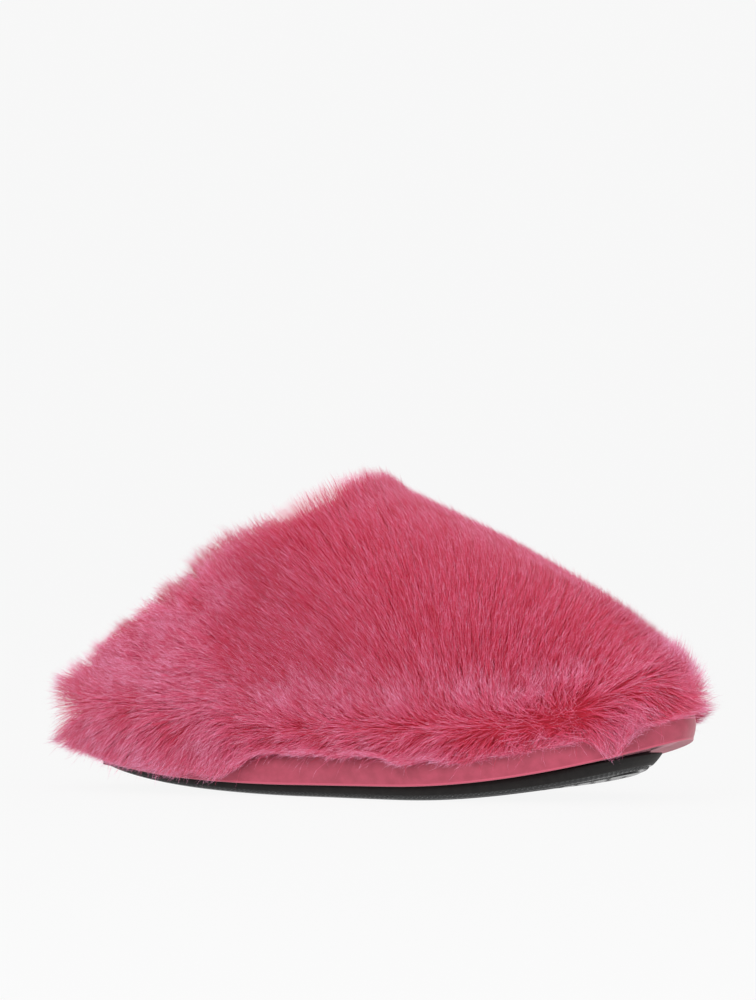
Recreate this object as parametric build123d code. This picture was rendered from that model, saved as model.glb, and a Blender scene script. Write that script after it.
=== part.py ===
from build123d import *
import math
import os

# A fluffy low-back house slipper, right foot, in millimetres.
# +X points to the toe, +Y to the inner (medial) side of the foot, +Z up.
# The sole rests on the flat middle of its bow at Z = 0.

# ---- driving dimensions -------------------------------------------------

# Outline of the platform seen from above, counter-clockwise from the toe tip.
PLATFORM_POINTS = [
    (136, 9),
    (113, 38),
    (50, 49),
    (-22, 40),
    (-92, 37),
    (-132, 0),
    (-92, -37),
    (-26, -41),
    (34, -49),
    (96, -38),
]
TOE_END = 136.0
HEEL_END = -132.0

FLAT_FRONT = 28.0       # the sole is flat between these two stations
FLAT_BACK = -18.0
TOE_BOW = 0.00145       # rise per squared millimetre beyond the flat zone
HEEL_BOW = 0.00096

SOLE_THICK = 5.8        # outsole thickness at the middle
SOLE_TAPER = 0.016      # thickness gained per millimetre towards the toe
SOLE_INSET = 7.0        # the outsole stands in from the platform edge
SOLE_SHRINK = 0.966     # and is a little shorter, so it stands in more at the toe
TREAD_DEPTH = 1.6
TREAD_THICK = 2.8
TREAD_MARGIN = 6.5      # plain rim between the sole edge and the tread
PAD_CENTRE = 5.0        # plain pad in the middle of the tread
PAD_LENGTH = 40.0
PAD_WIDTH = 24.0

PLATFORM_HEIGHT = 12.0
WRAP_THICK = 1.2
WRAP_LIP = 17.0         # how far the wrap is turned under the platform

BOARD_THICK = 1.5
PAD_THICK = 4.5
SOCK_THICK = 8.0

PILE = 14.0             # backing and pile of the plush fabric together
FOAM_THICK = 2.6
LINING_THICK = 2.2
PUFF_THICK = 0.8
LINING_INNER = FOAM_THICK + LINING_THICK

# Top line of the upper in side view: a full curve from heel to instep.
INSTEP = (2.0, 118.0)
BACK = (-133.0, 37.0)
TOP_BULGE = 1.5         # how far it rises above its chord
COLLAR_WIDTH = 22.0     # collar strip below the top line
COLLAR_RISE = 12.0      # pile standing above the top line

# Ridge of the vamp in side view, as a Bezier curve from toe to instep.
RIDGE = [(131.0, 18.0), (134.0, 66.0), (78.0, 86.0), (-60.0, 139.0)]
CROWN_BASE = 25.0       # the side walls stand upright up to this height
CROWN_HEIGHT = 124.0    # half height of the ellipse that closes the crown

# Side seams between vamp and quarters in side view.
SEAM_FOOT = (-18.0, 0.0)
SEAM_HEAD = (-62.0, 90.0)
TOE_PUFF_EDGE = 82.0

SOLE_END = 160.0        # the sole lines run this far to both ends
REACH = 400.0           # larger than anything it has to cut


# ---- sole lines ---------------------------------------------------------

def bow(x):
    """Height of the underside of the sole at station x."""
    ahead = max(0.0, x - FLAT_FRONT)
    behind = max(0.0, FLAT_BACK - x)
    return TOE_BOW * ahead ** 2 + HEEL_BOW * behind ** 2


def tread_floor(x):
    return bow(x) + TREAD_DEPTH


def sole_top(x):
    return bow(x) + SOLE_THICK + SOLE_TAPER * x


def feather(x):
    """Top of the platform, where the upper is sewn on."""
    return sole_top(x) + PLATFORM_HEIGHT


def hem(x):
    """Lower edge of the plush: over the band at the heel, above it ahead."""
    share = min(1.0, max(0.0, (x + 66.0) / 50.0))
    smooth = share * share * (3.0 - 2.0 * share)
    return feather(x) - 11.5 + 9.5 * smooth


def raised(line, height):
    return lambda x: line(x) + height


def level(height):
    return lambda x: height


def side_point(x, z):
    """A point of the side view, placed on the far side of the slipper."""
    return Vector(x, -REACH / 2, z)


def arc_of(line, start, end):
    """One parabolic stretch of a sole line, exact as a Bezier curve."""
    middle = (start + end) / 2
    control = 2 * line(middle) - (line(start) + line(end)) / 2
    return Edge.make_bezier(
        side_point(start, line(start)),
        side_point(middle, control),
        side_point(end, line(end)),
    )


def sole_curve(line):
    """Side view of a sole line: bowed, straight over the middle, bowed."""
    return [
        arc_of(line, -SOLE_END, FLAT_BACK),
        Edge.make_line(
            side_point(FLAT_BACK, line(FLAT_BACK)),
            side_point(FLAT_FRONT, line(FLAT_FRONT)),
        ),
        arc_of(line, FLAT_FRONT, SOLE_END),
    ]


def hem_curve(line):
    """Side view of the hem, which changes from one sole line to another."""
    stations = [-SOLE_END + 2 * SOLE_END * i / 16 for i in range(17)]
    return [Edge.make_spline([side_point(x, line(x)) for x in stations])]


def across(edges):
    """Body right across the slipper from a closed side view."""
    return extrude(Face(Wire(edges)), amount=REACH, dir=(0, 1, 0))


def slab_between(lower, upper, upper_curve=sole_curve):
    """Everything between two sole lines, right across the slipper."""
    ends = [
        Edge.make_line(side_point(x, lower(x)), side_point(x, upper(x)))
        for x in (-SOLE_END, SOLE_END)
    ]
    return across(sole_curve(lower) + upper_curve(upper) + ends)


# ---- platform outlines --------------------------------------------------

platform_edge = Edge.make_spline(
    [Vector(x, y, 0) for x, y in PLATFORM_POINTS], periodic=True
)
OUTLINE_POINTS = 48


def outline(inset, shrink=1.0):
    """The platform outline moved in by inset, as one smooth closed curve.
    A shrink below one also draws the toe back towards the heel."""
    points = []
    for i in range(OUTLINE_POINTS):
        place = platform_edge.position_at(i / OUTLINE_POINTS)
        along = platform_edge.tangent_at(i / OUTLINE_POINTS)
        place += Vector(-along.Y, along.X, 0) * inset
        points.append(Vector(HEEL_END + (place.X - HEEL_END) * shrink, place.Y, 0))
    return Face(Wire([Edge.make_spline(points, periodic=True)]))


def thick(face):
    """A flat outline made into an upright column."""
    return extrude(Pos(0, 0, -REACH / 4) * face, amount=REACH)


def column(inset, shrink=1.0):
    """Upright column on the platform outline, moved in by inset."""
    return thick(outline(inset, shrink))


# ---- the shape of the upper --------------------------------------------

def ridge_at(v):
    """Point on the ridge, v = 0 at the toe and 1 behind the instep."""
    w = 1.0 - v
    weights = (w ** 3, 3 * w * w * v, 3 * w * v * v, v ** 3)
    x = sum(k * p[0] for k, p in zip(weights, RIDGE))
    z = sum(k * p[1] for k, p in zip(weights, RIDGE))
    return x, z


def crown_point(u, v):
    """Point on the outside of the upper, u round the outline, v up the ridge."""
    base = platform_edge.position_at(u % 1.0)
    front, z = ridge_at(max(v, 0.0))
    z += 40.0 * min(v, 0.0)
    back = HEEL_END + 2.0 + 0.1 * max(0.0, z - CROWN_BASE)
    share = (base.X - HEEL_END) / (TOE_END - HEEL_END)
    rise = max(0.0, z - CROWN_BASE) / CROWN_HEIGHT
    width = 0.97 * math.sqrt(1.0 - rise * rise)
    return Vector(back + share * (front - back), base.Y * width, z)


def crown_normal(u, v):
    step = 0.004
    along = crown_point(u + step, v) - crown_point(u - step, v)
    up = crown_point(u, v + step) - crown_point(u, v - step)
    return along.cross(up).normalized()


RING_POINTS = 32
RING_LEVELS = [-0.3, 0.0, 0.12, 0.25, 0.38, 0.52, 0.66, 0.8, 0.9, 0.97]


def crown(inset):
    """Solid under the upper surface, moved in by inset (out when negative)."""
    rings = []
    for v in RING_LEVELS:
        ring = []
        for i in range(RING_POINTS):
            u = i / RING_POINTS
            ring.append(crown_point(u, v) - crown_normal(u, v) * inset)
        rings.append(ring)
    top = min(p.Z for p in rings[-1])
    rings[-1] = [Vector(p.X, p.Y, top) for p in rings[-1]]
    bottom = crown_point(0.0, RING_LEVELS[0]).Z
    rings[0] = [Vector(p.X, p.Y, bottom) for p in rings[0]]
    wires = [Wire([Edge.make_spline(r, periodic=True)]) for r in rings]
    return Solid.make_loft(wires)


# ---- cutters for the upper ----------------------------------------------

def side_prism(points):
    """Prism right across the slipper from a polygon in side view."""
    return across(
        Wire.make_polygon([side_point(x, z) for x, z in points], close=True).edges()
    )


def top_line_point(t, rise):
    """Point of the top line moved up by rise, t = 0 at the back, 1 at the instep."""
    run, climb = INSTEP[0] - BACK[0], INSTEP[1] - BACK[1]
    span = math.hypot(run, climb)
    lift = rise + 4 * TOP_BULGE * t * (1 - t)
    return side_point(
        BACK[0] + run * t - climb / span * lift,
        BACK[1] + climb * t + run / span * lift,
    )


def above_top_line(rise):
    """Everything above the top line moved up by rise, square to its chord."""
    behind, ahead = -0.5, 1.6
    start, end = top_line_point(behind, rise), top_line_point(ahead, rise)
    middle = top_line_point((behind + ahead) / 2, rise)
    far_end, far_start = top_line_point(ahead, REACH), top_line_point(behind, REACH)
    return across([
        Edge.make_bezier(start, middle * 2 - (start + end) / 2, end),
        Edge.make_line(end, far_end),
        Edge.make_line(far_end, far_start),
        Edge.make_line(far_start, start),
    ])


def ahead_of_seam():
    """Everything on the toe side of the side seams."""
    run = SEAM_HEAD[0] - SEAM_FOOT[0]
    rise = SEAM_HEAD[1] - SEAM_FOOT[1]
    low = (SEAM_FOOT[0] - run, SEAM_FOOT[1] - rise)
    high = (SEAM_FOOT[0] + 3 * run, SEAM_FOOT[1] + 3 * rise)
    return side_prism([low, (REACH, low[1]), (REACH, high[1]), high])


def half_space(side):
    """Everything on one side of the centre line; side is +1 or -1."""
    return Pos(0, side * REACH / 2, 0) * Box(2 * REACH, REACH, 2 * REACH)


# ---- sole pieces --------------------------------------------------------

def zigzag(x):
    """One groove of the tread, running across the sole as a zigzag strip."""
    pitch, depth, width = 16.0, 5.0, 2.0
    count = 12
    ys = [(i - count / 2) * pitch / 2 for i in range(count + 1)]
    front = [(x + depth * (i % 2) + width, y) for i, y in enumerate(ys)]
    back = [(x + depth * (i % 2), y) for i, y in enumerate(ys)]
    return Wire.make_polygon(
        [Vector(a, b, 0) for a, b in front + back[::-1]], close=True
    )


def make_outsole():
    """Side wall and base of the outsole, with a recess for the tread."""
    body = column(SOLE_INSET, SOLE_SHRINK) & slab_between(bow, sole_top)
    recess = column(SOLE_INSET + TREAD_MARGIN, SOLE_SHRINK)
    return body - (recess & slab_between(level(-5), raised(bow, TREAD_THICK)))


def make_tread():
    """Tread inlay: a plate with zigzag lugs and a plain pad in the middle."""
    field = column(SOLE_INSET + TREAD_MARGIN, SOLE_SHRINK)
    pad = Pos(PAD_CENTRE, 0, 0) * SlotOverall(PAD_LENGTH, PAD_WIDTH)
    plate = field & slab_between(tread_floor, raised(bow, TREAD_THICK))
    lugs = field & slab_between(bow, tread_floor)
    grooves = [thick(Face(zigzag(x))) - thick(pad) for x in range(-116, 108, 7)]
    return plate + (lugs - grooves)


def make_wrap():
    """Fabric band round the platform, turned under it as a narrow lip."""
    lip_top = raised(sole_top, WRAP_THICK)
    band = column(0) & slab_between(sole_top, feather)
    above_lip = column(WRAP_THICK) & slab_between(lip_top, raised(feather, 5))
    opening = column(WRAP_LIP) & slab_between(level(-20), raised(lip_top, 1))
    return band - above_lip - opening


def make_platform():
    """Foam core of the platform, rebated underneath for the wrap's lip."""
    core = column(WRAP_THICK) & slab_between(sole_top, feather)
    below = slab_between(level(-20), raised(sole_top, WRAP_THICK))
    return core - (below - column(WRAP_LIP))


# ---- footbed pieces -----------------------------------------------------

def footbed_layer(room, start, thickness):
    """One layer of the footbed, filling the room inside the lining."""
    return room & slab_between(raised(feather, start),
                               raised(feather, start + thickness))


# ---- upper pieces -------------------------------------------------------

def split_upper(layer, ahead):
    """Vamp, outer quarter and inner quarter of one layer of the upper."""
    quarters = layer - ahead
    return [layer & ahead, quarters & half_space(-1), quarters & half_space(1)]


def make_parts():
    backing = crown(0.0)
    foam_face = crown(FOAM_THICK)
    room = crown(LINING_INNER)
    plush_face = crown(-PILE)
    ahead = ahead_of_seam()
    over = above_top_line(0.0)
    foot = slab_between(level(-20), feather)

    foam = backing - foam_face - foot - over
    lining = foam_face - room - foot - over
    puff = (foam_face - crown(FOAM_THICK + PUFF_THICK) - foot) & Pos(
        TOE_PUFF_EDGE + REACH / 2, 0, 0) * Box(REACH, REACH, REACH)
    lining -= puff

    under_hem = slab_between(level(-20), hem, hem_curve)
    shell = plush_face - room - under_hem - (column(0) & foot)
    shell = shell - above_top_line(COLLAR_RISE)
    shell = shell - (backing - over)
    collar = shell & above_top_line(-COLLAR_WIDTH)
    plush = shell - above_top_line(-COLLAR_WIDTH)

    start = 0.0
    parts = {
        "outsole": make_outsole(),
        "tread": make_tread(),
        "platform_core": make_platform(),
        "platform_wrap": make_wrap(),
    }
    for name, thickness in (
        ("insole_board", BOARD_THICK),
        ("footbed_pad", PAD_THICK),
        ("footbed_plush", SOCK_THICK),
    ):
        parts[name] = footbed_layer(room, start, thickness)
        start += thickness
    for kind, layer in (("plush", plush), ("foam", foam), ("lining", lining)):
        vamp, outer, inner = split_upper(layer, ahead)
        parts["vamp_" + kind] = vamp
        parts["outer_quarter_" + kind] = outer
        parts["inner_quarter_" + kind] = inner
    parts["collar_plush"] = collar
    parts["toe_puff"] = puff
    return parts


os.makedirs("parts", exist_ok=True)
for node, shape in make_parts().items():
    export_step(shape, f"parts/{node}.step")
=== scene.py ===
import math

import bmesh
import bpy
import numpy as np
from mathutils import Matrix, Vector
from mathutils.bvhtree import BVHTree
from mathutils.kdtree import KDTree


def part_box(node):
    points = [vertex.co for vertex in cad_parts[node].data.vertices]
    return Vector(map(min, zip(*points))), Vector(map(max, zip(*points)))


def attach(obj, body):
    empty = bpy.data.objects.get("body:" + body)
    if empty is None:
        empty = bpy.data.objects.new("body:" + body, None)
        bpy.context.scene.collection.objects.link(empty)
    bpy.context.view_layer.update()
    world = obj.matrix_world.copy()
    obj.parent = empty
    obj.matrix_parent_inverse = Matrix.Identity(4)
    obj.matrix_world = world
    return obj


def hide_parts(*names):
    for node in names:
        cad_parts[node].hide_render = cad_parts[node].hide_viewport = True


# The looks of a fluffy pink house slipper. Lengths are in metres in the frame of
# the CAD model: +X to the toe, +Y to the inner side of the foot, +Z up.

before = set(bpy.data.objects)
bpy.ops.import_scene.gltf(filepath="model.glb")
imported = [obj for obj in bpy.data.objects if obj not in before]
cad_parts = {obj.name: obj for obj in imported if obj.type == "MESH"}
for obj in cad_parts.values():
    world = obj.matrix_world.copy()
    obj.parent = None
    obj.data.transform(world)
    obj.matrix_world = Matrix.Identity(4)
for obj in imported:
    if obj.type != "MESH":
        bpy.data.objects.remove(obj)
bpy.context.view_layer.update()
MM = 0.001

OUTER_SKIN = ("vamp_foam", "outer_quarter_foam", "inner_quarter_foam")
INNER_SKIN = ("vamp_lining", "outer_quarter_lining", "inner_quarter_lining")
PLUSH = ("vamp_plush", "outer_quarter_plush", "inner_quarter_plush", "collar_plush")


# ---- reading the frame --------------------------------------------------

def mesh_triangles(mesh):
    """Corner points of a mesh's triangles as an array (n, 3, 3)."""
    mesh.calc_loop_triangles()
    places = np.empty(len(mesh.vertices) * 3, dtype=np.float32)
    mesh.vertices.foreach_get("co", places)
    corners = np.empty(len(mesh.loop_triangles) * 3, dtype=np.int32)
    mesh.loop_triangles.foreach_get("vertices", corners)
    return places.reshape(-1, 3).astype(float)[corners.reshape(-1, 3)]


def triangles_of(node):
    return mesh_triangles(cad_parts[node].data)


def caster_for(node):
    tris = triangles_of(node)
    places = [Vector(p) for p in tris.reshape(-1, 3)]
    faces = [(i, i + 1, i + 2) for i in range(0, len(places), 3)]
    return BVHTree.FromPolygons(places, faces)


def side_line(node, from_above):
    """Height of a node's top or underside along the centre line, as x and z."""
    beside = 0.0011     # just off the centre line, where edges of facets can lie
    clear = 0.01        # how far outside the node a ray starts
    stations = 160
    caster = caster_for(node)
    low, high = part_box(node)
    start = high[2] + clear if from_above else low[2] - clear
    way = Vector((0, 0, -1 if from_above else 1))
    xs, zs = [], []
    for x in np.linspace(low[0] + MM, high[0] - MM, stations):
        hit = caster.ray_cast(Vector((x, beside, start)), way)[0]
        if hit is not None:
            xs.append(hit.x)
            zs.append(hit.z)
    return np.array(xs), np.array(zs)


FEATHER_LINE = side_line("platform_core", True)
SOLE_TOP_LINE = side_line("platform_core", False)


def along(line, x):
    """Height of a side line at x, carried on straight beyond its ends."""
    xs, zs = line
    z = np.interp(x, xs, zs)
    ahead = np.maximum(0, x - xs[-1]) * (zs[-1] - zs[-4]) / (xs[-1] - xs[-4])
    behind = np.minimum(0, x - xs[0]) * (zs[3] - zs[0]) / (xs[3] - xs[0])
    return z + ahead + behind


def top_line():
    """Height of the mouth's edge over x: the highest point of the foam there."""
    stretches = 45
    places = np.concatenate([triangles_of(n) for n in OUTER_SKIN]).reshape(-1, 3)
    instep = places[places[:, 2].argmax(), 0]
    edges = np.linspace(places[:, 0].min(), instep, stretches + 1)
    xs, zs = [], []
    for start, end in zip(edges[:-1], edges[1:]):
        inside = places[(places[:, 0] >= start) & (places[:, 0] <= end)]
        if len(inside):
            top = inside[inside[:, 2].argmax()]
            xs.append(top[0])
            zs.append(top[2])
    return np.array(xs), np.array(zs)


TOP_LINE = top_line()


def top_normals(points):
    """Unit normals of the mouth's edge in side view, at the points' x."""
    step = 4 * MM
    x = points[:, 0]
    rise = (along(TOP_LINE, x + step) - along(TOP_LINE, x - step)) / (2 * step)
    return unit(np.column_stack([-rise, np.zeros(len(x)), np.ones(len(x))]))


def below_top(points):
    """Distance of points below the edge of the mouth, square to it."""
    return (along(TOP_LINE, points[:, 0]) - points[:, 2]) * top_normals(points)[:, 2]


# ---- small tools --------------------------------------------------------

def unit(v):
    return v / np.maximum(np.linalg.norm(v, axis=-1, keepdims=True), 1e-12)


def smooth(x, low, high):
    """0 up to low, 1 from high on, with a soft change between."""
    t = np.clip((x - low) / (high - low), 0, 1)
    return t * t * (3 - 2 * t)


def rising(x, low, high):
    """A soft change from 0 to 1 between two distances in mm."""
    return smooth(x, low * MM, high * MM)


def falling(x, low, high):
    """A soft change from 1 to 0 between two distances in mm."""
    return 1 - rising(x, low, high)


def hump(x, middle, reach):
    """1 at a distance in mm, falling off to both sides over a reach in mm."""
    return np.exp(-((x - middle * MM) / (reach * MM)) ** 2)


def ripple(points, wavelength, seed, waves=7):
    """Smooth random field between about -1 and 1."""
    rng = np.random.default_rng(seed)
    ways = unit(rng.normal(size=(waves, 3)))
    sizes = 2 * math.pi / (wavelength * rng.uniform(0.7, 1.5, waves))
    phases = rng.uniform(0, 2 * math.pi, waves)
    total = np.sin(points @ (ways * sizes[:, None]).T + phases).sum(axis=1)
    return total / math.sqrt(waves / 2) / 1.6


def linear(red, green, blue):
    """Screen colour in 0-255 to linear light."""
    return [((c / 255 + 0.055) / 1.055) ** 2.4 for c in (red, green, blue)] + [1]


# ---- materials ----------------------------------------------------------

def plain_material(name, colour, roughness, sheen=0.0, specular=0.5):
    material = bpy.data.materials.new(name)
    material.use_nodes = True
    shader = material.node_tree.nodes["Principled BSDF"]
    shader.inputs["Base Color"].default_value = colour
    shader.inputs["Roughness"].default_value = roughness
    shader.inputs["Specular IOR Level"].default_value = specular
    shader.inputs["Sheen Weight"].default_value = sheen
    shader.inputs["Sheen Roughness"].default_value = 0.5
    material.diffuse_color = colour
    return material


def grained_material(name, dark, light, roughness, grain, depth, sheen=0.0, specular=0.5):
    """Cloth or rubber with soft colour patches and a fine grain, grain in metres.

    A patch is about eight grains wide.
    """
    material = plain_material(name, light, roughness, sheen, specular)
    nodes, links = material.node_tree.nodes, material.node_tree.links
    shader = nodes["Principled BSDF"]
    place = nodes.new("ShaderNodeTexCoord").outputs["Object"]
    patches = nodes.new("ShaderNodeTexNoise")
    patches.inputs["Scale"].default_value = 0.12 / grain
    patches.inputs["Detail"].default_value = 4
    links.new(place, patches.inputs["Vector"])
    ramp = nodes.new("ShaderNodeValToRGB")
    ramp.color_ramp.elements[0].position = 0.35
    ramp.color_ramp.elements[0].color = dark
    ramp.color_ramp.elements[1].position = 0.65
    ramp.color_ramp.elements[1].color = light
    links.new(patches.outputs["Fac"], ramp.inputs["Fac"])
    links.new(ramp.outputs["Color"], shader.inputs["Base Color"])
    fine = nodes.new("ShaderNodeTexNoise")
    fine.inputs["Scale"].default_value = 1 / grain
    fine.inputs["Detail"].default_value = 2
    links.new(place, fine.inputs["Vector"])
    bump = nodes.new("ShaderNodeBump")
    bump.inputs["Strength"].default_value = 0.6
    bump.inputs["Distance"].default_value = depth
    links.new(fine.outputs["Fac"], bump.inputs["Height"])
    links.new(bump.outputs["Normal"], shader.inputs["Normal"])
    return material


# Pile tones from root to tip, in three families that lie side by side. The paler tips are partly
# the pile's own colour and partly a painted highlight of light shining through the thin tips.
PILE_TONES = [
    [(194, 33, 59), (207, 69, 99), (220, 122, 158)],
    [(198, 42, 71), (217, 96, 131), (232, 158, 191)],
    [(184, 26, 50), (194, 46, 72), (199, 70, 103)],
]


def pile_materials():
    made = []
    for family, tones in enumerate(PILE_TONES):
        for zone, tone in zip(("root", "middle", "tip"), tones):
            name = f"pile_{zone}_{family}"
            made.append(plain_material(name, linear(*tone), 0.7, 0.2, 0.15))
    return made


# ---- growing the pile ---------------------------------------------------

SIDES = 3                   # corners round a strand
RINGS = 3                   # rings of corners along a strand, then its tip
RING_STEPS = (4, 8, 10)     # where the later rings and the tip lie on the path
TAPER = (1.0, 0.85, 0.5)    # how thick a strand is at each ring
PIECE_LIMIT = 12500         # strands in one piece


def skin_of(nodes):
    return np.concatenate([triangles_of(n) for n in nodes])


def scatter(tris, keep, per_mm2, seed):
    """Random roots and normals on triangles, those that pass the test keep."""
    rng = np.random.default_rng(seed)
    edge_a, edge_b = tris[:, 1] - tris[:, 0], tris[:, 2] - tris[:, 0]
    cross = np.cross(edge_a, edge_b)
    area = np.linalg.norm(cross, axis=1) / 2
    normal = unit(cross)
    chosen = area > 0
    tris, area, normal = tris[chosen], area[chosen], normal[chosen]
    count = int(area.sum() / MM ** 2 * per_mm2)
    pick = rng.choice(len(area), count, p=area / area.sum())
    a, b = rng.random((2, count))
    flip = a + b > 1
    a, b = np.where(flip, 1 - a, a), np.where(flip, 1 - b, b)
    t = tris[pick]
    roots = t[:, 0] + a[:, None] * (t[:, 1] - t[:, 0]) + b[:, None] * (t[:, 2] - t[:, 0])
    good = keep(roots, normal[pick])
    return roots[good], normal[pick][good]


def core_axis(points):
    """The nearest point on a line inside the slipper, from its heel to its toes.

    Faces of the outside look away from it and faces of the inside towards it.
    """
    heel, toes, height = -90 * MM, 85 * MM, 12 * MM
    axis = np.zeros_like(points)
    axis[:, 0] = np.clip(points[:, 0], heel, toes)
    axis[:, 2] = along(FEATHER_LINE, axis[:, 0]) + height
    return axis


def faces_out(points, normals):
    return ((points - core_axis(points)) * normals).sum(axis=1) > 0


def on_surface(way, normals):
    """way laid flat on the surface, as unit vectors."""
    way = np.broadcast_to(np.asarray(way, dtype=float), normals.shape)
    return unit(way - (way * normals).sum(axis=1)[:, None] * normals)


def turned(way, normals, angle):
    """way turned round the normals by an angle in radians."""
    side = np.cross(normals, way)
    return way * np.cos(angle)[:, None] + side * np.sin(angle)[:, None]


class Lie:
    """How the strands of one stretch of pile lie.

    A strand leaves the skin at the angle start from its normal and ends at the
    angle lean, over in the direction of its comb, which curl turns on the way.
    Sag is the pull of its weight, and tuft how much it joins its neighbours.
    """

    def __init__(self, combs, length, lean, start, sag=0.0, curl=0.0, tuft=1.0):
        count = len(combs)
        self.combs = unit(combs)
        self.length = length
        self.lean = np.broadcast_to(lean, count)
        self.start = np.broadcast_to(start, count)
        self.sag = np.broadcast_to(sag, count)
        self.curl = np.broadcast_to(curl, count)
        self.tuft = np.broadcast_to(tuft, count)


def strand_paths(roots, normals, lie):
    """Points along each strand: it leaves the skin steeply and lies over."""
    steps = RING_STEPS[-1]
    path = np.empty((len(roots), RINGS + 1, 3))
    path[:, 0] = roots
    here = roots.copy()
    for i in range(steps):
        s = (i + 0.5) / steps
        tilt = lie.start + (lie.lean - lie.start) * s ** 0.8
        comb = turned(lie.combs, normals, lie.curl * s)
        way = normals * np.cos(tilt)[:, None] + comb * np.sin(tilt)[:, None]
        way[:, 2] -= lie.sag * s
        here = here + unit(way) * (lie.length / steps)[:, None]
        if i + 1 in RING_STEPS:
            path[:, RING_STEPS.index(i + 1) + 1] = here
    return path


def gather(path, spacing, pull, seed):
    """Draws the strands together into tufts about spacing apart.

    One strand in each cell of that size is the guide that its neighbours follow,
    more towards their tips, keeping a quarter of their distance from it.
    """
    rng = np.random.default_rng(seed)
    roots = path[:, 0]
    guides = []
    taken = set()
    for i in rng.permutation(len(roots)):
        cell = tuple(np.floor(roots[i] / spacing).astype(int))
        if cell not in taken:
            taken.add(cell)
            guides.append(i)
    tree = KDTree(len(guides))
    for k, i in enumerate(guides):
        tree.insert(roots[i], k)
    tree.balance()
    own = np.array([guides[tree.find(p)[1]] for p in roots])
    strength = pull * rng.uniform(0.4, 1.0, len(roots))
    for k in range(1, RINGS + 1):
        share = strength * (RING_STEPS[k - 1] / RING_STEPS[-1]) ** 1.3
        target = path[own, k] + (roots - roots[own]) * 0.25
        path[:, k] += share[:, None] * (target - path[:, k])
    return path


def hold_up(path, rng):
    """Bends strands that would hang below the pile's lower edge back up to it.

    At the heel that edge is the foot of the band, further forward its top.
    """
    stray_share, firmness = 0.03, 0.88
    slack = rng.normal(0, 1.0, len(path)) * MM + ripple(path[:, 0], 19 * MM, 55) * 1.6 * MM
    strays = rng.random(len(path)) < stray_share
    slack += strays * rng.uniform(2, 10, len(path)) * MM
    for ring in range(1, RINGS + 1):
        x = path[:, ring, 0]
        cover = 12.0 * falling(x, -54, -28) + 4.5 * rising(x, 12, 48) - 2.0
        cover += 11.0 * fallen_tuft(path[:, ring])
        edge = along(FEATHER_LINE, x) - cover * MM - slack * ring / RINGS
        path[:, ring, 2] += firmness * np.maximum(0, edge - path[:, ring, 2])
    return path


def strand_mesh(name, path, normals, radius, family, materials, seed):
    """One mesh of tapered strands, shaded partly like the skin they stand on."""
    skin_shade, tip_shade = 0.45, 0.6
    rng = np.random.default_rng(seed)
    count = len(path)
    corners = RINGS * SIDES + 1
    turn = rng.uniform(0, 2 * math.pi, count)
    way = unit(path[:, -1] - path[:, 0])
    side = unit(np.cross(way, rng.normal(size=(count, 3))))
    third = np.cross(way, side)
    verts = np.empty((count, corners, 3))
    shade = np.empty((count, corners, 3))
    for ring in range(RINGS):
        for corner in range(SIDES):
            angle = turn + corner * 2 * math.pi / SIDES
            out = side * np.cos(angle)[:, None] + third * np.sin(angle)[:, None]
            at = ring * SIDES + corner
            verts[:, at] = path[:, ring] + out * (radius * TAPER[ring])[:, None]
            shade[:, at] = unit(out + normals * skin_shade)
    verts[:, -1] = path[:, RINGS]
    shade[:, -1] = unit(way + normals * tip_shade)
    bands = []
    for ring in range(RINGS - 1):
        for corner in range(SIDES):
            a, b = ring * SIDES + corner, ring * SIDES + (corner + 1) % SIDES
            bands.append((a, b, b + SIDES, a + SIDES))
    last = (RINGS - 1) * SIDES
    tips = [(last + c, last + (c + 1) % SIDES, corners - 1) for c in range(SIDES)]
    base = np.arange(count)[:, None] * corners
    quads = (base[:, :, None] + np.array(bands)[None]).reshape(count, -1)
    points = (base[:, :, None] + np.array(tips)[None]).reshape(count, -1)
    loops = np.concatenate([quads, points], axis=1).ravel()
    sizes = np.tile([4] * len(bands) + [3] * len(tips), count)
    zones = np.repeat(np.arange(RINGS), SIDES)
    tones = (family[:, None] * RINGS + zones[None]).ravel()
    mesh = bpy.data.meshes.new(name)
    mesh.vertices.add(count * corners)
    mesh.vertices.foreach_set("co", verts.ravel())
    mesh.loops.add(len(loops))
    mesh.loops.foreach_set("vertex_index", loops.astype(np.int32))
    mesh.polygons.add(len(sizes))
    starts = np.concatenate([[0], np.cumsum(sizes)[:-1]])
    mesh.polygons.foreach_set("loop_start", starts.astype(np.int32))
    mesh.polygons.foreach_set("material_index", tones.astype(np.int32))
    mesh.polygons.foreach_set("use_smooth", np.ones(len(sizes), dtype=bool))
    for material in materials:
        mesh.materials.append(material)
    mesh.update(calc_edges=True)
    mesh.normals_split_custom_set_from_vertices(shade.reshape(-1, 3))
    piece = bpy.data.objects.new(name, mesh)
    bpy.context.scene.collection.objects.link(piece)
    return piece


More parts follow.
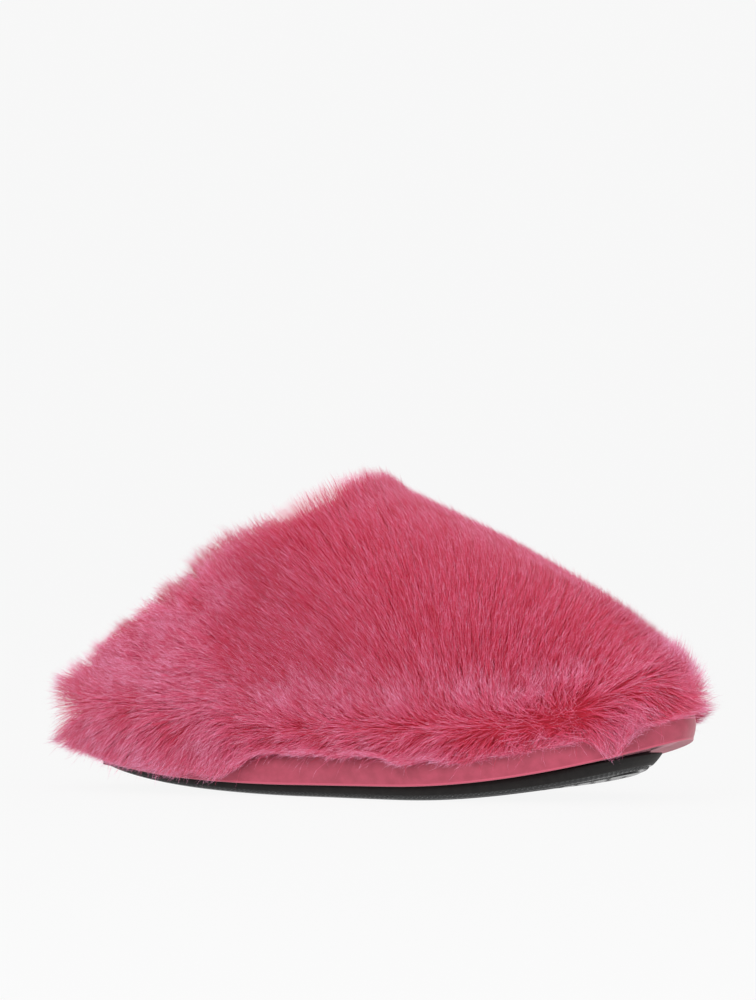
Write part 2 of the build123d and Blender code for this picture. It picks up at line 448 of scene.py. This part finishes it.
def grow(name, roots, normals, style, materials, seed):
    """Grows one stretch of pile, in as many pieces as it needs.

    Strands lie in wide tufts and in narrow locks, with patches of each tone.
    """
    tuft_width, lock_width = 6 * MM, 1.8 * MM
    rng = np.random.default_rng(seed)
    lie = style(roots, normals, rng)
    path = strand_paths(roots, normals, lie)
    path = gather(path, tuft_width, 0.34 * lie.tuft, seed + 1)
    path = gather(path, lock_width, 0.45 * lie.tuft, seed + 2)
    stray = rng.normal(size=(len(roots), 3)) * 0.8 * MM
    path[:, 2] += stray * 0.4
    path[:, 3] += stray
    if style in (upper_style, hem_style):
        path = hold_up(path, rng)
    tone = ripple(roots, 16 * MM, seed + 3) * 0.5 * lie.tuft + rng.normal(size=len(roots)) * 0.7
    tone += 2.0 * (lie.tuft - 0.6)
    family = np.where(tone > 0.5, 1, np.where(tone < -0.5, 2, 0))
    radius = rng.uniform(0.055, 0.09, len(roots)) * MM
    order = np.argsort(roots[:, 0])
    parts = max(1, math.ceil(len(roots) / PIECE_LIMIT))
    for part, chosen in enumerate(np.array_split(order, parts)):
        piece = strand_mesh(
            f"{name}_{part}", path[chosen], normals[chosen], radius[chosen],
            family[chosen], materials, seed + part,
        )
        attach(piece, "root")


# ---- how each stretch of pile lies --------------------------------------

SEAM_LEAN = 0.49        # the side seams lean back this much per unit of height
SEAM_FOOT = -18 * MM
FULL_LEAN = math.radians(86)    # lean of a strand that lies right over

# Directions of the pile in side view, in degrees up from +X: it is brushed up
# and spreads like a fan, forward over the toes and back over the quarters. Pile
# that lies between two of them has a direction between them.
TOE_FLOW, VAMP_FLOW = 35, 135
QUARTER_FLOW, HEM_FLOW = 186, 244
OVERHANG_FLOW, TOE_OVERHANG_FLOW, TUFT_FLOW = 238, -25, -75
OVERHANG_PARTING = 92 * MM      # ahead of it the overhanging pile points forward


def fluff(x):
    """Where the collar's pile stands fuller, behind the instep."""
    return rising(x, -66, -46) * falling(x, -40, -14)


def trim(x):
    """How much shorter the collar's pile is towards and round the heel, in mm."""
    return 2.3 * falling(x, -84, -66) + 4 * falling(x, -114, -100)


def fallen_tuft(points):
    """Where some pile hangs down over the band, beside the toes."""
    outer = points[:, 1] < 0
    return outer * hump(points[:, 0], 120, 5.5)


def toward(flow, other, share):
    return flow + (other - flow) * share


def any_way(normals, rng):
    """Random directions flat on the surface."""
    return on_surface(rng.normal(size=normals.shape), normals)


def lean_of(combs, most, full):
    """Lean of the strands from how long their combs are, up to most."""
    return np.clip(np.linalg.norm(combs, axis=1), 0, most) * full


def upper_style(roots, normals, rng):
    """Lie of the pile on the outside of the upper."""
    count = len(roots)
    x = roots[:, 0]
    depth = below_top(roots)
    rise = roots[:, 2] - along(FEATHER_LINE, x)

    # Shares from 0 to 1 of the regions of the upper, which fade into each other.
    collar = falling(x, -62, -18) * falling(depth, 12, 28)
    behind = falling(x, -130, -104)
    crest = falling(depth, 1, 13) * (1 - 0.6 * behind)
    quarter = falling(x + SEAM_LEAN * roots[:, 2] - SEAM_FOOT, -12, 9)
    low = falling(rise, 4 - 3 * behind, 22 - 14 * behind)
    heel = falling(x, -58, -28)
    toe = rising(x, 70, 118)
    foot = falling(rise, 3, 15) * (1 - heel) * falling(x, 118, 130)
    tuft = fallen_tuft(roots) * falling(rise, 8, 18)
    calm = rising(rise, 10, 34) * (1 - quarter) * (1 - collar)
    free = 1 - 0.88 * calm

    flow = toward(VAMP_FLOW, TOE_FLOW, rising(x, -20, 150))
    flow = toward(flow, QUARTER_FLOW, quarter * rising(depth, 6, 34))
    flow = toward(flow, HEM_FLOW, low * heel)
    ahead = x + rng.normal(size=count) * 9 * MM > OVERHANG_PARTING
    flow = toward(flow, np.where(ahead, TOE_OVERHANG_FLOW, OVERHANG_FLOW), foot)
    flow = np.radians(toward(flow, TUFT_FLOW, tuft))
    combs = np.column_stack([np.cos(flow), np.zeros(count), np.sin(flow)])
    flat = 0.88 - 0.06 * low - 0.22 * toe * (1 - low) - 0.25 * crest - 0.4 * behind
    combs = on_surface(combs, normals) * flat[:, None]
    swing = ripple(roots, 42 * MM, 11) * 0.45 + ripple(roots, 12 * MM, 12) * 0.25
    combs = turned(combs, normals, free * (swing + rng.normal(size=count) * 0.24))
    combs += any_way(normals, rng) * (0.04 + 0.16 * free)[:, None]
    lean = lean_of(combs, 1, FULL_LEAN)

    # Longer over the quarters, at the foot, in the tuft, at the toe's tip, in the
    # fluff and behind the heel; shorter round the collar and on the toe's ridge.
    length = 16.5 + 4.5 * quarter * (1 - collar) + 2 * low + 2.5 * toe * low + 9 * tuft
    length += 3 * rising(x, 112, 130) + crest * (1 - collar)
    length += 4 * fluff(x) * falling(depth, 6, 26) + 9 * behind
    length -= 0.8 * trim(x) * falling(depth, 4, 20)
    length += 1.5 * hump(x, 10, 22) * rising(rise, 45, 80)
    length -= 2.0 * rising(x, 45, 80) * falling(x, 108, 126) * (1 - low)
    length += free * (ripple(roots, 14 * MM, 13) * 1.2 + rng.normal(size=count) * 1.1)
    length += rng.normal(size=count) * 0.6
    sag = 0.12 * quarter + low * heel * (1 - 0.5 * behind) + 0.5 * foot + 0.9 * tuft
    curl = rng.normal(size=count) * (0.12 + 0.7 * free)
    lean += free * ripple(roots, 9 * MM, 14) * 0.14
    return Lie(combs, length * MM, lean, 0.24 + 0.3 * low, sag, curl, 0.2 + 0.8 * free)


def rim_style(roots, normals, rng):
    """Pile on the edge of the mouth, which falls over to both sides of it."""
    count = len(roots)
    x = roots[:, 0]
    across = on_surface(roots - core_axis(roots), normals)
    combs = across * rng.normal(0.2, 1.1, count)[:, None]
    combs += any_way(normals, rng) * 0.3
    combs += on_surface((-1, 0, 0), normals) * 0.4
    lean = lean_of(combs, 1.2, 1.25)
    length = 15 + rng.normal(size=count) * 1.2 + ripple(roots, 12 * MM, 31) * 1.6
    length += 7 * fluff(x) - trim(x)
    length -= 5.5 * hump(x, -16, 16)
    return Lie(combs, length * MM, lean, 0.1, 0.1, rng.normal(size=count) * 0.5, 0.4)


def mouth_style(roots, normals, rng):
    """Pile turned in over the edge of the mouth."""
    count = len(roots)
    combs = on_surface(top_normals(roots), normals) + rng.normal(size=(count, 3)) * 0.2
    length = 12 + 6 * falling(below_top(roots), 1, 9) + rng.normal(size=count)
    lean = rng.uniform(0.8, 1.4, count)
    curl = rng.normal(size=count) * 0.5
    return Lie(on_surface(combs, normals), length * MM, lean, 0.35, 0.1, curl)


def lining_style(roots, normals, rng):
    """Short fleece pile of the lining."""
    count = len(roots)
    combs = on_surface((-0.6, 0, 0.3), normals) * 0.5
    combs += any_way(normals, rng) * 0.4
    lean = lean_of(combs, 1, 1.3)
    length = (5.5 + rng.normal(size=count) * 0.6) * MM
    return Lie(combs, length, lean, 0.3, 0.0, rng.normal(size=count) * 0.9)


def hem_style(roots, normals, rng):
    """Long pile at the foot of the quarters that falls over the band."""
    count = len(roots)
    fade = falling(roots[:, 0], -62, -30)
    combs = on_surface((-0.45, 0, -1.0), normals)
    combs = turned(combs, normals, ripple(roots, 24 * MM, 91) * 0.6 + rng.normal(size=count) * 0.2)
    length = 13 + 7 * fade + rng.normal(size=count) * 1.5 + ripple(roots, 12 * MM, 92) * 1.5
    curl = rng.normal(size=count) * 0.6
    return Lie(combs, length * MM, 1.4, 0.35, 1.1 * fade, curl)


def footbed_style(roots, normals, rng):
    """Short dense pile of the footbed, brushed a little to the toe."""
    count = len(roots)
    combs = on_surface((1.0, 0, 0), normals) * 0.4
    combs += any_way(normals, rng) * 0.3
    combs = turned(combs, normals, ripple(roots, 30 * MM, 41) * 1.2)
    lean = lean_of(combs, 1, 1.2)
    length = (7 + rng.normal(size=count) * 0.7 + ripple(roots, 16 * MM, 42) * 0.8) * MM
    return Lie(combs, length, lean, 0.15, 0.0, rng.normal(size=count) * 0.6)


# ---- the object ---------------------------------------------------------

def mesh_piece(name, verts, faces, materials, replaced=()):
    mesh = bpy.data.meshes.new(name)
    mesh.from_pydata(verts, [], faces)
    for material in materials:
        mesh.materials.append(material)
    mesh.polygons.foreach_set("use_smooth", [True] * len(faces))
    piece = bpy.data.objects.new(name, mesh)
    bpy.context.scene.collection.objects.link(piece)
    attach(piece, "root")
    if replaced:
        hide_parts(*replaced)
    return piece


def cloth_over(name, tris, lift, lumps, material, replaced):
    """A soft skin over CAD faces: fine triangles, lifted and made uneven."""
    longest, same_place, rounds = 5 * MM, 0.01 * MM, 7
    build = bmesh.new()
    for tri in tris:
        build.faces.new([build.verts.new(p) for p in tri])
    bmesh.ops.remove_doubles(build, verts=build.verts, dist=same_place)
    for _ in range(rounds):
        long_edges = [e for e in build.edges if e.calc_length() > longest]
        if not long_edges:
            break
        bmesh.ops.subdivide_edges(build, edges=long_edges, cuts=1)
        bmesh.ops.triangulate(build, faces=build.faces)
    build.normal_update()
    places = np.array([v.co[:] for v in build.verts])
    normals = np.array([v.normal[:] for v in build.verts])
    faces = [[v.index for v in f.verts] for f in build.faces]
    build.free()
    uneven = ripple(places, 14 * MM, 71) + 0.6 * ripple(places, 5 * MM, 72)
    places += normals * (lift + lumps * uneven)[:, None]
    return mesh_piece(name, places.tolist(), faces, [material], replaced)


class Rim:
    """The outer outline of a CAD node with its upper and lower edges."""

    def __init__(self, node, inset, middle, stations):
        """The side is met at the height middle above the top of the bowed sole,
        and the edges' levels are read at the distance inset inside it.

        That height follows from where the side is, so it is found in a few tries.
        """
        first_guess, outside, tries, back_off = 0.1, 0.3, 6, 0.9
        caster = caster_for(node)
        places = []
        for angle in np.linspace(0, 2 * math.pi, stations, endpoint=False):
            way = Vector((math.cos(angle), math.sin(angle), 0))
            x = first_guess * way.x
            for _ in range(tries):
                level = float(along(SOLE_TOP_LINE, x)) + middle
                hit = caster.ray_cast(way * outside + Vector((0, 0, level)), -way)[0]
                x = hit.x if hit else x * back_off
            if hit:
                places.append((hit.x, hit.y))
        places = np.array(places)
        loop = np.vstack([places, places[:1]])
        run = np.concatenate([[0], np.cumsum(np.linalg.norm(np.diff(loop, axis=0), axis=1))])
        at = np.linspace(0, run[-1], stations, endpoint=False)
        self.points = np.stack([np.interp(at, run, loop[:, i]) for i in (0, 1)], axis=1)
        self.out = self.outward(stations)
        inner = self.points - self.out * inset
        below, above = -0.05, 0.15
        self.low = self.level_of(caster, inner, below, Vector((0, 0, 1)))
        self.high = self.level_of(caster, inner, above, Vector((0, 0, -1)))

    def outward(self, stations):
        """Unit normals of the outline in plan, from neighbours 3 mm away."""
        three_mm_steps = 220    # in the whole outline
        reach = max(2, round(stations / three_mm_steps))
        ahead = np.roll(self.points, -reach, axis=0) - np.roll(self.points, reach, axis=0)
        return unit(np.stack([ahead[:, 1], -ahead[:, 0]], axis=1))

    @staticmethod
    def level_of(caster, places, start, way):
        """Height at which a ray meets the node at each place, gaps filled in."""
        found = []
        for x, y in places:
            hit = caster.ray_cast(Vector((x, y, start)), way)[0]
            found.append(hit.z if hit else np.nan)
        found = np.array(found)
        good = ~np.isnan(found)
        index = np.arange(len(found))
        return np.interp(index, index[good], found[good], period=len(found))


def sweep_piece(name, rim, profile, materials, slots_of, replaced, bulge=None):
    """A band swept round a rim. The profile holds (outward, share, lift):
    share runs from the lower edge to the upper one, the rest is in metres,
    and outward may differ from station to station, as bulge may."""
    count = len(rim.points)
    rows = []
    for outward, share, lift in profile:
        extra = 0 if bulge is None else bulge * math.sin(math.pi * min(max(share, 0), 1))
        plan = rim.points + rim.out * (outward + extra * np.ones(count))[:, None]
        level = rim.low + share * (rim.high - rim.low) + lift
        rows.append(np.column_stack([plan, level]))
    faces, tones = [], []
    for row in range(len(profile) - 1):
        for i in range(count):
            j = (i + 1) % count
            a, b = row * count, (row + 1) * count
            faces.append((a + i, b + i, b + j, a + j))
            tones.append(slots_of[row])
    verts = np.concatenate(rows).tolist()
    piece = mesh_piece(name, verts, faces, materials, replaced)
    piece.data.polygons.foreach_set("material_index", tones)
    return piece


def make_band():
    """The fabric band round the platform: slightly full, rolled under below, with a painted
    highlight on the rolled edge.
    """
    rim = Rim("platform_wrap", 0.6 * MM, 4 * MM, 420)
    fabric = grained_material(
        "wrap_fabric", linear(150, 54, 74), linear(164, 62, 84),
        0.55, 0.5 * MM, 0.12 * MM, 0.2, 0.35,
    )
    # The rolled lower edge is a lighter pink than the fabric. This is a painted highlight for light
    # from below on the fold.
    edge = plain_material("wrap_edge_painted_highlight", linear(176, 72, 95), 0.5, 0.25, 0.3)
    profile = [
        (-5.0, 1.0, 0.4), (-2.0, 1.0, 0.9), (-0.6, 1.0, 0.5), (0.1, 0.93, 0.0),
        (0.3, 0.8, 0.0), (0.35, 0.65, 0.0), (0.35, 0.5, 0.0), (0.3, 0.35, 0.0),
        (0.2, 0.2, 0.0), (0.1, 0.07, 0.0), (0.1, 0.045, 0.0), (0.25, 0.02, 0.0),
        (0.2, -0.01, 0.0), (-0.1, -0.03, 0.0), (-0.8, -0.025, 0.0),
        (-3.0, -0.01, 0.0), (-9.0, 0.0, 0.0), (-17.5, 0.0, 0.0),
    ]
    rolled = range(10, 13)      # rows of the profile on the rolled lower edge
    profile = [(o * MM, s, z * MM) for o, s, z in profile]
    slots_of = [1 if row in rolled else 0 for row in range(len(profile) - 1)]
    lower_edge = np.column_stack([rim.points, rim.low])
    bulge = 0.7 * MM + ripple(lower_edge, 26 * MM, 51) * 0.35 * MM
    bulge += ripple(lower_edge, 7 * MM, 52) * 0.08 * MM
    sweep_piece(
        "band", rim, profile, [fabric, edge], slots_of, ["platform_wrap"], bulge,
    )


def make_sole():
    """The rubber sole: a wall, raked at the toe, and a stitched rim round the tread."""
    pitch = 2.2 * MM        # of the stitches
    rake_level = 0.45       # share of the wall's height that the rake turns about
    first_gloss = 6         # row of the profile where the rim starts
    rim = Rim("outsole", 3 * MM, -1.5 * MM, 1440)
    rubber = grained_material(
        "sole_rubber", linear(22, 20, 20), linear(29, 27, 26),
        0.66, 0.35 * MM, 0.08 * MM, 0.0, 0.25,
    )
    gloss = plain_material("rim_rubber", linear(23, 23, 25), 0.24, 0.0, 0.6)
    run = np.concatenate([[0], np.cumsum(np.linalg.norm(np.diff(rim.points, axis=0), axis=1))])
    stitch = 0.7 * smooth(np.sin(2 * math.pi * run / pitch), -0.5, 0.5)
    rake = 6 * rising(rim.points[:, 0], 85, 122)
    wall = [
        (-12.0, 1.0, -0.2), (-0.5, 1.0, -0.2), (0.0, 0.93, 0.0), (0.1, 0.7, 0.0),
        (0.0, 0.5, 0.0), (-0.2, 0.38, 0.0), (-0.6, 0.3, 0.0), (-1.5, 0.27, 0.0),
        (-1.7 + stitch, 0.2, 0.0), (-1.9 + stitch, 0.1, 0.0), (-2.5, 0.05, 0.0),
        (-2.8, 0.06, 0.0), (-3.2, 0.0, 0.0),
    ]
    inner_edge = [(-6.4, 0.0, 0.0), (-6.6, 0.0, 2.6), (-8.0, 0.0, 2.6)]
    profile = [(o + rake * (s - rake_level), s, z) for o, s, z in wall] + inner_edge
    profile = [(o * MM, s, z * MM) for o, s, z in profile]
    slots_of = [1 if row >= first_gloss else 0 for row in range(len(profile) - 1)]
    sweep_piece("sole", rim, profile, [rubber, gloss], slots_of, ["outsole"])
    dress("tread", grained_material(
        "tread_rubber", linear(12, 12, 13), linear(20, 20, 21), 0.24, 0.9 * MM, 0.12 * MM, 0.0, 0.4,
    ))
    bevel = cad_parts["tread"].modifiers.new("worn edges", "BEVEL")
    bevel.width = 0.3 * MM
    bevel.segments = 2
    bevel.limit_method = "ANGLE"
    bevel.angle_limit = math.radians(50)


def dress(node, material):
    """Gives a CAD node one material."""
    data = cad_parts[node].data
    data.materials.clear()
    data.materials.append(material)


def dress_inner_parts():
    """Finishes of the CAD parts inside the slipper, which keep their shape."""
    dress("platform_core", grained_material(
        "core_cover", linear(190, 126, 140), linear(202, 142, 155), 0.9, 0.8 * MM, 0.2 * MM,
    ))
    dress("insole_board", grained_material(
        "fibre_board", linear(150, 118, 84), linear(176, 144, 106), 0.85, 0.7 * MM, 0.15 * MM,
    ))
    dress("toe_puff", grained_material(
        "puff_sheet", linear(222, 220, 214), linear(236, 234, 228), 0.8, 0.8 * MM, 0.1 * MM,
    ))
    foam = grained_material(
        "soft_foam", linear(226, 214, 206), linear(238, 228, 220), 0.95, 1.1 * MM, 0.35 * MM,
    )
    for node in OUTER_SKIN + ("footbed_pad",):
        dress(node, foam)


def make_upper():
    """Backing cloth over the foam, dark as painted shade beneath the pile, the long pile, and the
    turned-in mouth.
    """
    rim_half, mouth_depth = 1.5 * MM, 12 * MM
    hem_height, hem_end = 6 * MM, -44 * MM
    faces_up, faces_mostly_up, faces_down = 0.97, 0.6, -0.5     # cosines
    skin = skin_of(OUTER_SKIN)
    lining = skin_of(INNER_SKIN)
    edge = np.concatenate([skin, lining])
    pile = pile_materials()
    density = 2.6    # strands on a square millimetre
    # The backing cloth is real, but its dark red is painted shade for the deep gaps between the
    # strands and above the band.
    backing_painted_shade = grained_material(
        "plush_backing_painted_shade", linear(150, 20, 42), linear(170, 30, 54), 0.9, 1 * MM, 0.2 * MM,
    )
    cloth_over("upper_backing", skin, 0.6 * MM, 0.1 * MM, backing_painted_shade, PLUSH)

    def on_rim(points, normals):
        along_rim = (normals * top_normals(points)).sum(axis=1) > faces_up
        return along_rim & (np.abs(below_top(points)) < rim_half)

    def outside(points, normals):
        shown = faces_out(points, normals) & (normals[:, 2] > faces_down)
        return shown & ~on_rim(points, normals)

    def in_mouth(points, normals):
        ledge = (normals * top_normals(points)).sum(axis=1) > faces_mostly_up
        inside = ledge | ~faces_out(points, normals)
        return inside & ~on_rim(points, normals) & (below_top(points) < mouth_depth)

    def over_band(points, normals):
        rise = points[:, 2] - along(FEATHER_LINE, points[:, 0])
        ragged_end = hem_end + ripple(points, 2 * MM, 99) * 10 * MM
        return outside(points, normals) & (rise < hem_height) & (points[:, 0] < ragged_end)

    for name, tris, keep, share, style, scatter_seed, seed in (
        ("upper_pile", skin, outside, 1.0, upper_style, 5, 21),
        ("hem_pile", skin, over_band, 1.6, hem_style, 9, 121),
        ("rim_pile", edge, on_rim, 3.2, rim_style, 6, 61),
        ("mouth_pile", edge, in_mouth, 1.2, mouth_style, 7, 81),
    ):
        roots, normals = scatter(tris, keep, density * share, scatter_seed)
        grow(name, roots, normals, style, pile, seed)


def make_lining():
    """The fleece inside: a lumpy skin, with short pile where it can be seen."""
    first_seen, last_seen = 8 * MM, 45 * MM     # below the edge and along the slipper
    density = 0.9
    lining = skin_of(INNER_SKIN)
    fleece = grained_material(
        "fleece", linear(176, 44, 70), linear(198, 66, 94), 0.95, 1.2 * MM, 0.6 * MM, 0.4, 0.2,
    )
    cloth_over("fleece_lining", lining, 0.1 * MM, 0.25 * MM, fleece, INNER_SKIN)

    def seen(points, normals):
        depth = below_top(points)
        return ~faces_out(points, normals) & (depth > first_seen) & (points[:, 0] < last_seen)

    roots, normals = scatter(lining, seen, density, 15)
    grow("lining_pile", roots, normals, lining_style, pile_materials(), 141)


def blown_up(solid, voxel, cap):
    """Remeshes a closed solid and fills it like a pad by cloth simulation.

    No point moves further than cap.
    """
    frames = 20
    bpy.context.view_layer.objects.active = solid
    remesh = solid.modifiers.new("remesh", "REMESH")
    remesh.mode = "VOXEL"
    remesh.voxel_size = voxel
    bpy.ops.object.modifier_apply(modifier=remesh.name)
    mesh = solid.data
    before = np.array([v.co[:] for v in mesh.vertices])
    cloth = solid.modifiers.new("cloth", "CLOTH")
    cloth.settings.quality = 6
    cloth.settings.mass = 0.2
    cloth.settings.use_pressure = True
    cloth.settings.uniform_pressure_force = 4
    cloth.settings.effector_weights.gravity = 0
    cloth.collision_settings.use_collision = False
    cloth.point_cache.frame_start = 1
    cloth.point_cache.frame_end = frames
    for step in range(1, frames + 1):
        bpy.context.scene.frame_set(step)
    bpy.ops.object.modifier_apply(modifier=cloth.name)
    bpy.context.scene.frame_set(1)
    after = np.array([v.co[:] for v in mesh.vertices])
    move = after - before
    size = np.linalg.norm(move, axis=1, keepdims=True)
    after = before + move * np.minimum(1, cap / np.maximum(size, 1e-9))
    mesh.vertices.foreach_set("co", after.ravel())
    mesh.update()


def make_footbed():
    """The footbed: a padded base, blown up soft, and its short pile."""
    sunk = 0.55         # share of the plush's height that is left to its pile
    drawn_in = 0.985    # room at the sides for the base to swell
    faces_up, last_seen = 0.6, 30 * MM
    density = 1.8
    tris = triangles_of("footbed_plush")
    places = tris.reshape(-1, 3)
    pad_top = side_line("footbed_pad", True)
    rise = places[:, 2] - along(pad_top, places[:, 0])
    places[:, 2] -= rise * sunk
    places[:, :2] *= drawn_in
    base = grained_material(
        "footbed_fleece", linear(168, 36, 60), linear(190, 54, 82),
        0.95, 1 * MM, 0.5 * MM, 0.4, 0.2,
    )
    faces = np.arange(len(places)).reshape(-1, 3).tolist()
    pad = mesh_piece(
        "footbed_base", places.tolist(), faces, [base], ["footbed_plush"],
    )
    build = bmesh.new()
    build.from_mesh(pad.data)
    bmesh.ops.remove_doubles(build, verts=build.verts, dist=0.01 * MM)
    build.to_mesh(pad.data)
    build.free()
    blown_up(pad, 2.2 * MM, 1.2 * MM)
    pad.data.polygons.foreach_set("use_smooth", [True] * len(pad.data.polygons))
    pad.modifiers.new("rounding", "SUBSURF").levels = 1

    def on_top(points, normals):
        return (normals[:, 2] > faces_up) & (points[:, 0] < last_seen)

    skin = mesh_triangles(pad.data)
    roots, normals = scatter(skin, on_top, density, 8)
    grow("footbed_pile", roots, normals, footbed_style, pile_materials(), 101)


# ---- stage, light and camera --------------------------------------------

def make_stage():
    """A pale round floor that curves up into a pale wall all round."""
    centre, flat, radius, height, turns = 0.01, 4.0, 2.5, 8.0, 96
    profile = [(centre, 0.0)]
    profile += [
        (flat + radius * math.sin(a), radius * (1 - math.cos(a)))
        for a in np.linspace(0, math.pi / 2, 32)
    ]
    profile.append((flat + radius, height))
    verts = [
        (r * math.cos(a), r * math.sin(a), z)
        for a in np.linspace(0, 2 * math.pi, turns, endpoint=False) for r, z in profile
    ]
    n = len(profile)
    faces = [
        (t * n + i, t * n + i + 1, (t + 1) % turns * n + i + 1, (t + 1) % turns * n + i)
        for t in range(turns) for i in range(n - 1)
    ]
    mesh = bpy.data.meshes.new("backdrop")
    mesh.from_pydata(verts, [], faces)
    mesh.polygons.foreach_set("use_smooth", [True] * len(faces))
    paper = plain_material("backdrop", (0.03, 0.03, 0.03, 1), 0.9, 0.0, 0.0)
    shader = paper.node_tree.nodes["Principled BSDF"]
    shader.inputs["Emission Color"].default_value = (1, 1, 1, 1)
    shader.inputs["Emission Strength"].default_value = 0.905
    mesh.materials.append(paper)
    backdrop = bpy.data.objects.new("backdrop", mesh)
    bpy.context.scene.collection.objects.link(backdrop)


def add_light(name, place, size, power):
    data = bpy.data.lights.new(name, "AREA")
    data.shape = "DISK"
    data.size = size
    data.energy = power
    lamp = bpy.data.objects.new(name, data)
    lamp.location = place
    lamp.rotation_euler = (-Vector(place)).to_track_quat("-Z", "Y").to_euler()
    bpy.context.scene.collection.objects.link(lamp)


def make_light():
    world = bpy.data.worlds.new("studio")
    bpy.context.scene.world = world
    world.use_nodes = True
    background = world.node_tree.nodes["Background"]
    background.inputs["Color"].default_value = (1, 1, 1, 1)
    background.inputs["Strength"].default_value = 0.85
    add_light("key", (0.2, -1.9, 1.0), 1.4, 28)
    add_light("fill", (1.7, -0.9, 0.7), 1.2, 11)
    add_light("top", (-0.3, 0.3, 1.8), 1.2, 3)


def make_camera():
    """Three metres off, nearly level, 25 degrees from the side towards the toe."""
    azimuth, elevation, distance = math.radians(25), math.radians(1.0), 3.0
    view_height, sensor = 0.410, 36
    data = bpy.data.cameras.new("camera")
    data.sensor_width = sensor
    data.lens = sensor * distance / view_height
    data.clip_end = 50
    camera = bpy.data.objects.new("camera", data)
    aim = Vector((0, 0, 0.1204))
    back = Vector((
        math.sin(azimuth) * math.cos(elevation),
        -math.cos(azimuth) * math.cos(elevation),
        math.sin(elevation),
    ))
    camera.location = aim + back * distance
    camera.rotation_euler = (-back).to_track_quat("-Z", "Y").to_euler()
    bpy.context.scene.collection.objects.link(camera)
    bpy.context.scene.camera = camera


make_upper()
make_lining()
make_footbed()
make_band()
make_sole()
dress_inner_parts()
make_stage()
make_light()
make_camera()
bpy.context.scene.view_settings.view_transform = "Standard"
